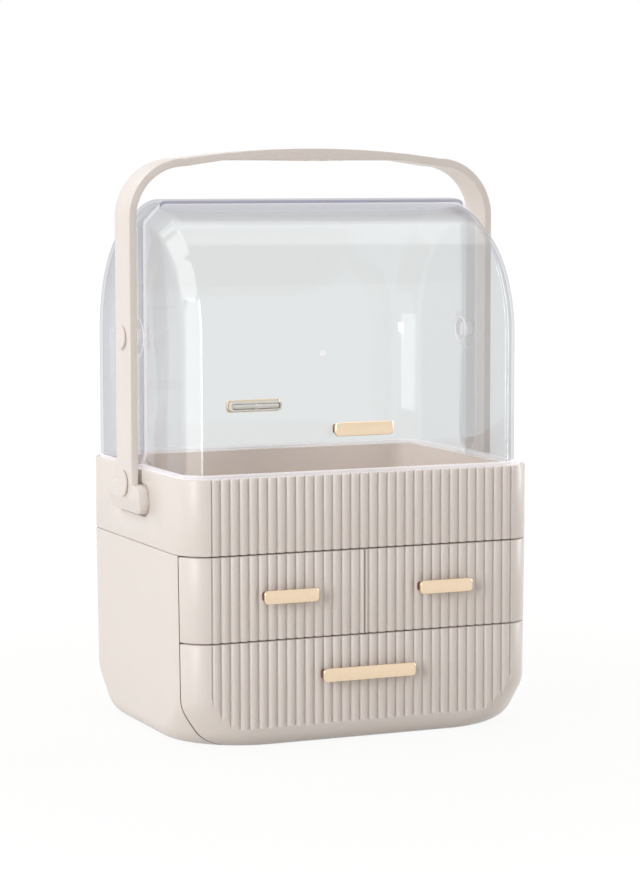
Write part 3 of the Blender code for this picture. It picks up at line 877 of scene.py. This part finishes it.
def handle(look, steps=24):
    """The carrying handle: one arched strap with softened edges and a wide foot at each end."""
    shoulder = handle_half_width - handle_corner
    spring = handle_top - handle_crown - handle_corner

    def leg(half_width, radius):
        """The left leg from its foot up, with the round corner over it."""
        points = [(-half_width, foot_height - 2 * MM)]
        for step in range(steps + 1):
            turn = math.pi / 2 * step / steps
            points.append((-shoulder - radius * math.cos(turn), spring + radius * math.sin(turn)))
        return points

    outer = leg(handle_half_width, handle_corner)
    for step in range(1, steps):
        share = step / steps - 1
        outer.append((share * shoulder, handle_top - handle_crown * share**2))
    outer += [(0, handle_top)] + mirrored(outer)
    inner = leg(handle_half_width - handle_thickness, handle_corner - handle_thickness)
    grip = []
    for step in range(2 * steps + 1):
        across = grip_half_length * (step / steps - 1)
        fade = max(1 - (across / wave_half_length) ** 2, 0)
        wave = fade * wave_height * math.cos(math.pi * across / wave_half_pitch)
        grip.append((across, grip_height + wave))
    inner += grip + mirrored(inner)
    made = object_from("carrying_handle", along_y(outer + inner[::-1], -strap_half_width, strap_half_width))
    drop = foot_half_height + past
    slanted = handle_half_width - foot_taper * drop / foot_half_height
    outside = handle_half_width + past
    for side in (-1, 1):
        lobe = rounded(foot_half_width, foot_half_height, foot_half_height * 0.99, 20, (0, foot_height))
        near, far = sorted((side * foot_inner, side * handle_half_width))
        carve(made, along_x(lobe, near, far), "UNION")
        wedge = [(handle_half_width, 0), (slanted, -drop), (outside, -drop), (outside, 0)]
        wedge = [(side * x, foot_height + z) for x, z in wedge]
        carve(made, along_y(wedge, -far_off, far_off))
    soften(made, 0.6 * MM)
    dress(made, look, "body", "cream_plastic", "handle")


def pull_bars(look):
    """The five flat gold bars of the pulls, each with a rounded outline and soft edges."""
    for name, body, x, z, length in (
        ("upper_left_pull_bar", "upper_left_drawer", -50.5, 90.5, 35),
        ("upper_right_pull_bar", "upper_right_drawer", 50.5, 90.5, 35),
        ("lower_pull_bar", "lower_drawer", 0, 41.6, 60.5),
        ("front_cover_pull_bar", "front_half", 0, 187, 38),
        ("rear_cover_pull_bar", "rear_half", 0, 187, 38),
    ):
        low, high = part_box(name)
        outline = rounded(length / 2 * MM, bar_half_height, bar_corner, 8, (x * MM, z * MM))
        made = object_from(name.replace("bar", "grip"), along_y(outline, low[1], high[1]))
        soften(made, 0.9 * MM, segments=4)
        dress(made, look, body, "gold", name)


def pull_boss(look):
    """The bright bar and screw post inside the rear pull's hollow neck, seen through the clear wall."""
    low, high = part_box("rear_cover_pull_neck")
    middle = ((low[0] + high[0]) / 2, (low[2] + high[2]) / 2)
    bar = rounded(boss_bar_half_width, boss_bar_half_height, boss_bar_corner, 6, middle)
    made = object_from("rear_pull_boss", along_y(bar, low[1] + 1.2 * MM, low[1] + 2.6 * MM))
    post = rounded(post_radius, post_radius, post_radius - 0.01 * MM, 10, middle)
    carve(made, along_y(post, low[1] + 0.2 * MM, low[1] + 2.2 * MM), "UNION")
    soften(made, 0.3 * MM, segments=2)
    dress(made, look, "rear_half", "gold_neck")


# Stage

def seen_share(tree):
    """One for rays from the camera, through clear parts and off glossy ones, and nought for all others."""
    rays = node(tree, "ShaderNodeLightPath").outputs
    share = rays["Is Camera Ray"]
    for kind in ("Is Transmission Ray", "Is Glossy Ray"):
        either = node(tree, "ShaderNodeMath", links={0: share, 1: rays[kind]}, operation="MAXIMUM")
        share = either.outputs[0]
    return share


def paper_floor():
    """A matt white paper sweep: the object's shadow shows near it, and pure white away from it."""
    mesh = bmesh.new()
    bmesh.ops.create_grid(mesh, x_segments=1, y_segments=1, size=6)
    floor = object_from("floor", mesh)
    look, tree = start_material("Matt white paper sweep")
    place = node(tree, "ShaderNodeTexCoord").outputs["Object"]
    away = node(tree, "ShaderNodeVectorMath", links={0: place}, operation="LENGTH")
    white_share = node(
        tree,
        "ShaderNodeMapRange",
        {"From Min": 0.2, "From Max": 0.8, "To Min": 0.88, "To Max": 1},
        {"Value": away.outputs["Value"]},
        interpolation_type="SMOOTHSTEP",
    )
    shares = {0: seen_share(tree), 1: white_share.outputs["Result"]}
    share = node(tree, "ShaderNodeMath", links=shares, operation="MULTIPLY")
    paper = node(tree, "ShaderNodeBsdfDiffuse", {"Color": linear("#D6D3CE")})
    glow = node(tree, "ShaderNodeEmission", {"Color": linear("#FFFFFF"), "Strength": 1.04})
    show(tree, mix_shaders(tree, share.outputs[0], paper, glow))
    floor.data.materials.append(look)


def studio_world():
    """A faint warm studio that lights the object, seen as pure white."""
    world = bpy.data.worlds.new("Studio")
    bpy.context.scene.world = world
    world.use_nodes = True
    tree = world.node_tree
    tree.nodes.clear()
    studio = node(tree, "ShaderNodeBackground", {"Color": linear("#FFF9F6"), "Strength": 0.34})
    white = node(tree, "ShaderNodeBackground", {"Color": linear("#FFFFFF"), "Strength": 1})
    mixed = mix_shaders(tree, seen_share(tree), studio, white)
    node(tree, "ShaderNodeOutputWorld", links={"Surface": mixed.outputs["Shader"]})


def softboxes():
    """The studio lamps, all aimed at the object. Those that don't shine leave no reflection on it."""
    for name, place, across, up, power, shines in (
        ("front left softbox", (-1.9, -1.25, 0.66), 0.5, 1.25, 16.5, True),
        ("near left softbox", (-1.2, -0.48, 0.38), 0.3, 0.74, 1.4, True),
        ("upper left softbox", (-1.76, -0.25, 1.35), 0.8, 0.8, 4.6, True),
        ("high left softbox", (-1.35, 0.5, 1.7), 0.8, 0.8, 4.6, True),
        ("rear left softbox", (-0.85, 1.3, 1.55), 0.8, 0.8, 3.5, True),
        ("right softbox", (2.0, -0.12, 0.7), 0.5, 1.4, 19, True),
        ("front softbox", (0.35, -2.0, 1.2), 1.2, 1.0, 2, False),
        ("overhead softbox", (0, 0.4, 2.0), 2.4, 1.0, 9, True),
        ("rear softbox", (0.6, 2.0, 1.1), 1.4, 1.0, 7, False),
    ):
        lamp = bpy.data.lights.new(name, "AREA")
        lamp.shape = "RECTANGLE"
        lamp.energy = power
        lamp.size = across
        lamp.size_y = up
        made = bpy.data.objects.new(name, lamp)
        made.visible_glossy = shines
        made.location = place
        made.rotation_euler = (lamp_aim - Vector(place)).to_track_quat("-Z", "Y").to_euler()
        bpy.context.collection.objects.link(made)


def photo_camera():
    """The camera that took the photograph, as fitted to it."""
    camera = bpy.data.cameras.new("camera")
    camera.sensor_fit = "VERTICAL"
    camera.sensor_height = 24
    camera.lens = focal_pixels * camera.sensor_height / picture_height
    view = bpy.data.objects.new("camera", camera)
    view.location = camera_place
    view.rotation_euler = [math.radians(turn) for turn in (90 - camera_down, camera_roll, camera_turn)]
    bpy.context.collection.objects.link(view)
    bpy.context.scene.camera = view
    bpy.context.scene.view_settings.view_transform = "Standard"


cream = moulded_abs("Cream ABS", "#E9E2DD", "#E6DFD9", 0.34)
# A darker cream painted as the shade inside the tray's well and the drawers
cream_inner_shaded = moulded_abs("Cream ABS darkened as inner shade", "#E2D6CE", "#DDD1C9", 0.5)
clear = clear_styrene("Clear polystyrene", "#F7F8F8", "#B0AEC2")
# Milky edges with a painted glow for the light that they gather
clear_edge_glow = lit_edge("Clear polystyrene edges with painted glow", "#F3F2FB", "#EEECF8")
# A dark violet painted on the rear half's top edge as the shade seen in it
clear_top_shade = lit_edge("Clear polystyrene top edge painted as shade", "#77739A", "#8985A8", 0)
clear_pin = clear_styrene("Clear polystyrene pins", "#FCFCFD", "#D9D8E4")
# Dark brown painted on the cabinet's front rim as the shadow in the seams
seam_shade = moulded_abs("Cream ABS painted with seam shadow", "#8B766A", "#7F6A5E", 0.6)
gold = gold_plate("Pale gold plating", "#EED8BD", "#EAD3B5", 0.2)
# The necks' plating is painted dark brown as the shade that falls on them
gold_neck = gold_plate("Gold plating on the necks", "#94683A", "#855B31", 0.25)
bright_plate = gold_plate("Bright plating of the screw post", "#F8F6F2", "#EFECE6", 0.4)

paper_floor()
studio_world()
softboxes()
photo_camera()
cabinet(cream, seam_shade)
upper_fronts(cream)
lower_front(cream)
tray(cream, cream_inner_shaded)
handle(cream)
pull_bars(gold)
pull_boss(bright_plate)
cover_half(
    "front_clear_half",
    -1,
    inner_radius,
    inner_half_width,
    inner_chamfer,
    (inner_half_width - cover_wall - 0.5 * MM, inner_half_width - 0.2 * MM),
    (clear, clear_edge_glow, clear_top_shade),
    "front_half",
    "front_cover",
)
cover_half(
    "rear_clear_half",
    1,
    cover_radius,
    cover_half_width,
    cover_chamfer,
    (cover_half_width - cover_wall + 0.2 * MM, cover_half_width + 0.5 * MM),
    (clear, clear_edge_glow, clear_top_shade),
    "rear_half",
    "rear_cover",
)
gate_mark(clear_edge_glow)
pivot_pin("pivot_pin_left", -1, clear_pin, clear_edge_glow)
pivot_pin("pivot_pin_right", 1, clear_pin, clear_edge_glow)

# The pieces that keep their CAD shape get a better material, the inner ones the darker cream painted as
# shade
for look, names in (
    (cream_inner_shaded, ("mid_shelf", "bay_divider", "upper_left_box", "upper_right_box", "lower_box")),
    (cream, ("pivot_cap_left", "pivot_cap_right", "foot_cap_left", "foot_cap_right")),
    # The necks take the gold that is darkened as painted shade
    (gold_neck, ("upper_left_pull_neck", "upper_right_pull_neck", "lower_pull_neck")),
    (gold_neck, ("front_cover_pull_neck",)),
    (bright_plate, ("rear_cover_pull_neck",)),
):
    for name in names:
        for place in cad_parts[name].material_slots:
            place.material = look
